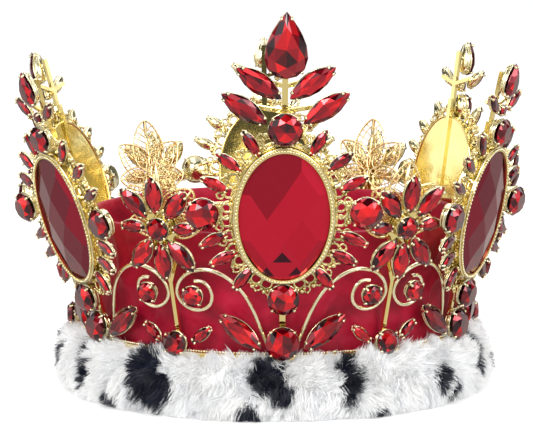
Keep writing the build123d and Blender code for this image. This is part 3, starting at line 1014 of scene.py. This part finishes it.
def milled_rim(tray, place):
    """Row of grains pressed round the top of the bezel wall, with a plain wire ledge just below it.
    """
    half_x = OVAL_HALF_WIDTH + BEZEL_WALL - 0.5
    half_y = OVAL_HALF_LENGTH + BEZEL_WALL - 0.5
    grain = ball(0.62, 4, 6)
    for x, y, z in ellipse_route(half_x, half_y, RIM_GRAINS, BEZEL_HEIGHT + 0.05):
        tray.add(grain, place @ shift(x, y, z))
    ledge = ellipse_route(half_x + 0.75, half_y + 0.75, 96, BEZEL_HEIGHT - 0.9)
    tray.add(wire(ledge, 0.45, closed=True), place)


def surround_lace(tray, place):
    """Openwork round the bezel: loops, grains, three-ball tips and the side stones' ears."""
    inner_x = OVAL_HALF_WIDTH + BEZEL_WALL
    inner_y = OVAL_HALF_LENGTH + BEZEL_WALL
    tip, grain, small = ball(1.2, 5, 8), ball(0.7, 4, 6), ball(0.85, 4, 8)
    loop = wire(ellipse_route(2.3, 2.4, 16, -0.3), 0.6, closed=True)
    edge = wire(ellipse_route(1.5, 1.5, 12, -0.1), 0.45, closed=True)
    motif = [
        (loop, 0, 0, 0), (grain, -1.8, 2.0, 0.5), (grain, -1.8, -2.0, 0.5), (edge, 3.4, 2.3, 0),
        (tip, 3.7, 0, 0.2), (small, 2.6, 1.5, 0.4), (small, 2.6, -1.5, 0.4), (grain, 5.0, 2.3, 0.1),
    ]
    tray.add(wire(ellipse_route(inner_x + 0.65, inner_y + 0.65, 96, -0.2), 0.7, closed=True), place)
    for k in range(LACE_LOOPS):
        turn = 2 * math.pi * (k + 0.5) / LACE_LOOPS
        out_x, out_y = math.cos(turn), math.sin(turn)
        seat = place @ shift((inner_x + 3.2) * out_x, (inner_y + 3.2) * out_y)
        seat = seat @ spin(math.degrees(math.atan2(out_y, out_x)))
        if abs(out_x) < 0.12:
            continue
        for part, x, y, z in motif:
            tray.add(part, seat @ shift(x, y, z))
    for side in (-1, 1):
        ear = place @ shift(side * (inner_x + 3.6), SIDE_ROUND_AT[1])
        tray.add(wire(ellipse_route(2.7, 3.6, 20, 0.2), 0.8, closed=True), ear)
        for rise in (-3.4, 3.4):
            bend, end = (side * 4.5, rise * 0.9, -0.4), (side * 8.5, rise * 0.5, -0.4)
            route = [(0, rise, -0.3), bend, end]
            tray.add(wire(route, 0.9), ear)


def flat_bar(half_wide, low, high, behind, ahead):
    """Flat bar that runs up the slope."""
    points = []
    for z in (behind, ahead):
        points += [(-half_wide, low, z), (half_wide, low, z)]
        points += [(half_wide, high, z), (-half_wide, high, z)]
    faces = [(3, 2, 1, 0), (4, 5, 6, 7), (0, 1, 5, 4), (1, 2, 6, 5), (2, 3, 7, 6), (3, 0, 4, 7)]
    return points, faces, None


def dress_medallions():
    for _, name, oval_at, slant in medallions():
        place = slant @ shift(0, oval_at)
        rim = Tray()
        milled_rim(rim, place)
        rim.piece(f"milled_rim_{name}", claw_gold, "claw_gold", smooth=True)
        lace = Tray()
        surround_lace(lace, place)
        lace.piece(f"surround_lace_{name}", cast_gold, "cast_gold", smooth=True,
                   replaces=[f"medallion_surround_{name}"])
        back = Tray()
        half_x, half_y = OVAL_HALF_WIDTH + 3.3, OVAL_HALF_LENGTH + 3.3
        back.add(wire(ellipse_route(half_x, half_y, 96, -3.0), 0.55, closed=True), place)
        back.piece(f"back_rim_{name}", polished_gold, "polished_gold", smooth=True)
        stem = Tray()
        foot, tip = BACK_STEM_FOOT - oval_at, OVAL_HALF_LENGTH + 12.0
        stem.add(flat_bar(1.3, foot, tip, -4.1, -2.9), place)
        stem.piece(f"back_stem_{name}", polished_gold, "polished_gold")


def lobe_route(half_long, half_wide, count):
    """Closed leaf-shaped loop, drawn out to a soft point at its far end."""
    route = []
    for turn in turns_of(count):
        x = half_long * math.cos(turn)
        swell = 1.0 - 0.26 * math.cos(turn) - 0.06 * math.cos(2 * turn)
        route.append((x, half_wide * math.sin(turn) * swell, 0.0))
    return route


def filigree_leaf():
    """Five-lobed leaf of twisted wire, each lobe with a rib, slanting veins and curls."""
    tray = Tray()
    lobes = [
        (0.0, 14.5, 13.0, 8.2, 90),
        (8.6, 8.2, 10.4, 6.8, 44),
        (-8.6, 8.2, 10.4, 6.8, 136),
        (9.4, -1.5, 8.4, 5.4, 2),
        (-9.4, -1.5, 8.4, 5.4, 178),
    ]
    grain = ball(0.45, 4, 6)
    for x, y, half_long, half_wide, angle in lobes:
        seat = shift(x, y) @ spin(angle)
        tray.add(wire(lobe_route(half_long, half_wide, 48), 0.45, closed=True), seat)
        inner = lobe_route(half_long * 0.72, half_wide * 0.66, 36)
        tray.add(wire(inner, 0.3, closed=True, sides=5), seat)
        for px, py, _ in lobe_route(half_long - 0.1, half_wide - 0.1, 54):
            tray.add(grain, seat @ shift(px, py, 0.4))
        rib = [(-half_long, 0, 0.3), (0, 0, 0.8), (half_long * 0.92, 0, 0.3)]
        tray.add(wire(rib, 0.6), seat)
        for step in range(7):
            reach = half_long * (-0.85 + 0.23 * step)
            ahead = reach + half_long * 0.3
            wide = half_wide * math.sqrt(max(0.0, 1 - (ahead / half_long) ** 2)) * 0.95
            for side in (-1, 1):
                bend = ((reach + ahead) / 2 + 0.4, side * wide * 0.5, 0.5)
                vein = [(reach, 0, 0.3), bend, (ahead, side * wide, 0.1)]
                tray.add(wire(vein, 0.26, sides=5), seat)
        for side in (-1, 1):
            curl = []
            for k in range(16):
                turn, radius = math.radians(34 * k), half_wide * 0.34 * (1 - k / 22)
                middle_x = -half_long * 0.45
                curl.append((middle_x + radius * math.cos(turn),
                             side * (half_wide * 0.62 + radius * math.sin(turn)), 0.6))
            tray.add(wire(curl, 0.32, sides=5), seat)
    tray.add(wire([(0, -19, 0), (0, 0, 0.7), (0, 14, 1.0), (0, 27, 0.3)], 0.95))
    return tray.part()


def set_leaves():
    leaf = filigree_leaf()
    for k in range(6):
        place = slope(60 * k + 30, FLOWER_LEAN) @ shift(LEAF_SWAY.get(k, 0.0), FLOWER_AT + 1, -3.6)
        tray = Tray()
        tray.add(leaf, place)
        tray.piece(f"filigree_leaf_{k + 1}", leaf_gold, "filigree_gold", smooth=True,
                   replaces=["filigree_leaves"])


def set_beaded_wire():
    """Grains soldered side by side above the fur."""
    tray = Tray()
    grain = ball(0.6, 4, 8)
    count = int(2 * math.pi * BEAD_RADIUS / BEAD_SPACING)
    for turn in turns_of(count):
        tray.add(grain, shift(*round_axis(BEAD_RADIUS, turn, BEAD_HEIGHT)))
    tray.piece("beaded_wire", wire_gold, "wire_gold", smooth=True, replaces=["beaded_hoop"])


# --- Velvet band ---

def wrinkle(azimuth, height):
    """Pulled folds of the stretched cloth, in millimetres outward."""
    along = azimuth * BAND_RADIUS
    room = min(1.0, max(0.0, (height - 30.0) / 14.0))
    sway = noise.noise(Vector((along * 0.03, height * 0.03, 1.0)))
    ridge = noise.noise(Vector((along * 0.05 + sway, height * 0.05 - along * 0.015, 3.0)))
    crease = 1.0 - min(1.0, abs(ridge) * 3.6)
    fine = noise.noise(Vector((along * 0.13 + height * 0.09, height * 0.1 - along * 0.04, 9.0)))
    stand = 0.08 + (0.4 + 1.5 * room) * crease ** 1.5 + (0.3 + 0.5 * room) * max(0.0, fine)
    return min(stand, 0.85 + 1.3 * room)


def velvet_band():
    """Cloth folded over the top of the stiff ring, inside and out."""
    around, wall, rim = 360, 40, 8
    fold = (BAND_RADIUS - HEAD_RADIUS) / 2
    centre = (BAND_RADIUS + HEAD_RADIUS) / 2
    section = []
    for k in range(wall):
        section.append((BAND_RADIUS, (BAND_TOP - fold) * k / wall, 1.0))
    for k in range(rim + 1):
        turn = math.pi * k / rim
        z = BAND_TOP - fold + fold * math.sin(turn)
        section.append((centre + fold * math.cos(turn), z, 0.3))
    for k in range(1, wall + 1):
        section.append((HEAD_RADIUS, BAND_TOP - fold - (BAND_TOP - fold) * k / wall, 0.0))
    lining = []
    for r, z, share in section:
        r = r - CLOTH if r > centre else r + CLOTH
        r = min(max(r, HEAD_RADIUS + CLOTH), BAND_RADIUS - CLOTH)
        lining.append((r, min(z, BAND_TOP - CLOTH), share))
    profile = section + list(reversed(lining))
    points = []
    for azimuth in turns_of(around):
        for radius, z, share in profile:
            stand = 0.0
            if share > 0:
                lap = azimuth if azimuth < math.pi else azimuth - 2 * math.pi
                seam = min(1.0, (math.pi - abs(lap)) / 0.2)
                stand = wrinkle(lap, z) * share * seam
            points.append(round_axis(radius + stand, azimuth, z))
    tray = Tray()
    tray.add((points, ring_faces(around, len(profile)), None))
    band = tray.piece("velvet_band", crimson_velvet, "red_velvet", smooth=True,
                      replaces=["velvet_cover"])


# --- Ermine trim ---

def roll_section(t, shrink=0.0):
    """Point and outward direction on the roll's outside; t runs 0 (inner top) to 1 (foot)."""
    inner = FUR_INNER + shrink
    top = FUR_HEIGHT - shrink
    belly = FUR_HEIGHT * 0.42
    reach = FUR_REACH - 1.4 - 2 * shrink
    if t < 0.55:
        turn = math.pi / 2 * (1 - t / 0.55)
        point = (inner + 1.4 + reach * math.cos(turn), belly + (top - belly) * math.sin(turn))
        return point, (math.cos(turn), math.sin(turn) * 0.8)
    fall = (t - 0.55) / 0.45
    point = (inner + 1.4 + reach - 2.0 * fall * fall, belly - (belly - 0.4) * fall)
    return point, (1.0, -0.5 * fall)


def tail_dye(azimuth, height, ragged):
    """How black the pile is at a place on the roll."""
    dye = 0.0
    for tail, tall, half_wide, half_tall in TAILS:
        gap = (azimuth - math.radians(tail) + math.pi) % (2 * math.pi) - math.pi
        across = gap * (FUR_INNER + FUR_REACH) / half_wide
        along = (height - tall) / half_tall
        if across * across + along * along < (1.0 + ragged) ** 2:
            dye = 1.0
    return dye


def back_tails():
    """Tails on the far side, spaced like those at the front."""
    luck = random.Random(21)
    azimuth = 98.0
    while azimuth < 272.0:
        height = luck.choice((5.0, 13.0, 16.0))
        TAILS.append((azimuth, height, luck.uniform(4, 8), luck.uniform(4, 9)))
        azimuth += luck.uniform(12, 20)


def roll_skin(name, material, slot, node, shrink, lump):
    """Padded roll with a lumpy outside, flat below and against the band."""
    around, steps = 300, 22
    points, dyes = [], []
    for azimuth in turns_of(around):
        for k in range(steps + 1):
            (r, z), (out_r, out_z) = roll_section(k / steps, shrink)
            place = Vector(round_axis(r, azimuth, z))
            push = lump * noise.noise(place * 0.16) * math.sin(math.pi * k / steps)
            r, z = r + out_r * push, max(shrink, z + out_z * push)
            points.append(round_axis(r, azimuth, z))
            dyes.append(tail_dye(azimuth, z, 0.0))
        for z in (shrink, FUR_HEIGHT - shrink - 1.0):
            points.append(round_axis(FUR_INNER + shrink, azimuth, z))
            dyes.append(0.0)
    faces = [face[::-1] for face in ring_faces(around, steps + 3)]
    tray = Tray()
    tray.add((points, faces, None))
    roll = tray.piece(name, material, slot, smooth=True, replaces=[node])
    paint(roll.data, "dye", "POINT", dyes)
    return roll


def fur_pile(name, seed, locks, hairs):
    """Locks of fine hairs, each hair a narrow blade with a bent middle."""
    luck = np.random.default_rng(seed)
    turns = luck.uniform(0, 2 * math.pi, locks)
    levels = luck.uniform(0.0, 1.0, locks) ** 0.92
    roots, tips, dyes = [], [], []
    for turn, level in zip(turns, levels):
        (r, z), (out_r, out_z) = roll_section(level)
        place = Vector(round_axis(r, turn, z))
        outward = Vector(round_axis(out_r, turn, out_z)).normalized()
        along = Vector((math.cos(turn), math.sin(turn), 0))
        down = along.cross(outward).normalized()
        if down.z > 0:
            down = -down
        swirl = noise.noise_vector(place * 0.09)
        lie = down * (0.35 + 0.7 * swirl.x) + along * (1.0 * swirl.y)
        length = 5.2 + 2.4 * noise.noise(place * 0.17 + Vector((5, 5, 5))) + luck.uniform(-0.8, 1.2)
        lift = 0.5 + 0.25 * swirl.z
        crest = place + (outward * lift + lie * 0.75).normalized() * length
        dye = tail_dye(turn, z, 0.35 * (luck.random() - 0.5))
        roots.append(place - outward * 0.8)
        tips.append(crest)
        dyes.append(dye)
    roots = np.repeat(np.array([tuple(p) for p in roots]), hairs, axis=0)
    tips = np.repeat(np.array([tuple(p) for p in tips]), hairs, axis=0)
    shades = np.repeat(np.array(dyes), hairs)
    count = len(roots)
    spread = luck.normal(0, 1.45, (count, 3))
    roots = roots + spread
    tips = tips + spread * 0.45 + luck.normal(0, 0.55, (count, 3))
    radius = np.hypot(roots[:, 0], roots[:, 1])
    outward = np.stack([roots[:, 0] / radius, roots[:, 1] / radius, np.zeros(count)], axis=1)
    middles = roots * 0.45 + tips * 0.55 + outward * 0.9
    heading = tips - roots
    side = np.cross(heading, outward + luck.normal(0, 0.5, (count, 3)))
    side = side / np.maximum(np.linalg.norm(side, axis=1, keepdims=True), 1e-6)
    thick = luck.uniform(0.09, 0.18, (count, 1))
    corners = np.stack([
        roots - side * thick, roots + side * thick,
        middles + side * thick * 0.8, middles - side * thick * 0.8, tips,
    ], axis=1).reshape(-1, 3)
    corners[:, 2] = np.maximum(corners[:, 2], 0.25)
    near = np.hypot(corners[:, 0], corners[:, 1])
    keep_out = np.maximum(near, BAND_RADIUS + 0.95) / near
    corners[:, 0] *= keep_out
    corners[:, 1] *= keep_out
    first = np.arange(count) * 5
    quads = np.stack([first, first + 1, first + 2, first + 3], axis=1)
    ends = np.stack([first + 3, first + 2, first + 4], axis=1)
    mesh = new_mesh(name, (corners * MM).tolist(), quads.tolist() + ends.tolist())
    paint(mesh, "dye", "POINT", np.repeat(shades, 5) * luck.uniform(0.9, 1.0))
    return finish_piece(mesh, name, ermine_pile, True, ())


def set_ermine():
    back_tails()
    skin = roll_skin("ermine_skin", ermine_pile, "ermine_fur", "ermine_trim", 0.0, 1.6)
    filling = roll_skin("roll_wadding", wadding, "wadding", "trim_wadding", 4.2, 0.4)
    for k in range(FUR_PIECES):
        fur_pile(f"ermine_pile_{k + 1}", 300 + k, LOCKS, HAIRS)


# --- Finishes on the frame's own parts ---

def finish_for(node):
    if node.startswith(("medallion_bezel", "medallion_stem", "flower_stems", "lower_hoop")):
        return polished_gold
    if node.startswith("scroll_wires"):
        return wire_gold
    return board if node == "band_stiffener" else None


for node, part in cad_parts.items():
    finish = finish_for(node)
    if finish:
        part.data.materials.clear()
        part.data.materials.append(finish)

set_all_stones()
dress_medallions()
set_leaves()
set_beaded_wire()
velvet_band()
set_ermine()

bpy.context.view_layer.update()
